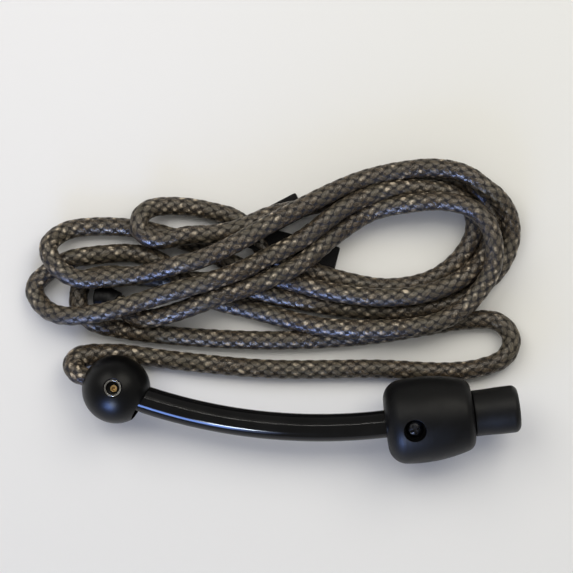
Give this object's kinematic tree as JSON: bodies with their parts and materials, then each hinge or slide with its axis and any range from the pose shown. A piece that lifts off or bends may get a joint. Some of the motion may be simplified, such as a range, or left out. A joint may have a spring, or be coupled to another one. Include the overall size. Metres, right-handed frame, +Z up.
{
  "type": "grunt tube call",
  "caption": "Grunt tube call with a reed barrel, rubber mouthpiece, bent black tube, ball end and a braided neck cord laid as a loose hank",
  "frame": {"origin": "centre of the bottom of the call's box, on the surface it lies on, the cord not counted", "axes": "+X along the call towards the mouthpiece, +Y towards the cord's hank, +Z up"},
  "size_m": [0.191, 0.1167, 0.0325],
  "materials": {
    "ball_black": "matte moulded",
    "barrel_black": "satin moulded",
    "tube_black": "gloss extruded",
    "sleeve_rubber": "soft satin rubber",
    "seal_rubber": "black rubber",
    "inner_black": "turned plastic",
    "reed_white": "moulded off-white",
    "reed_film": "clear film",
    "nickel": "nickel plated",
    "brass": "turned brass",
    "screw_black": "black oxide",
    "cord_braid": "waxed round braid",
    "shrink_black": "heat shrunk",
    "strap_black": "woven strap"
  },
  "bodies": {
    "root": {"ball": "ball_black", "ball_ring": "nickel", "ball_set_screw": "brass", "tube": "tube_black", "tube_bush": "inner_black", "tube_o_ring": "seal_rubber", "bush_insert": "brass", "barrel": "barrel_black", "barrel_screw": "screw_black", "reed_body": "reed_white", "reed_body_o_rings": "seal_rubber", "reed_wedge": "reed_white", "cord": "cord_braid", "cord_tip": "shrink_black", "strap": "strap_black"},
    "mouthpiece": {"mouthpiece_stub": "inner_black", "mouthpiece_o_ring": "seal_rubber", "mouthpiece_sleeve": "sleeve_rubber"},
    "reed": {"reed": "reed_film"},
    "band": {"reed_band": "seal_rubber"}
  },
  "joints": [
    {"name": "mouthpiece_pull", "type": "slide", "parent": "root", "child": "mouthpiece", "axis": [0.9928, 0.1167, 0.0282], "range_m": [0, 0.009]},
    {"name": "reed_flex", "type": "hinge", "parent": "root", "child": "reed", "pos_m": [0.05845, -0.00205, 0.01669], "axis": [-0.1166, 0.9932, -0.0033], "range_deg": [-2, 1.1], "stiffness_Nm_per_rad": 0.002},
    {"name": "band_slide", "type": "slide", "parent": "root", "child": "band", "axis": [0.9928, 0.1167, 0.0282], "range_m": [-0.002, 0.001]}
  ]
}
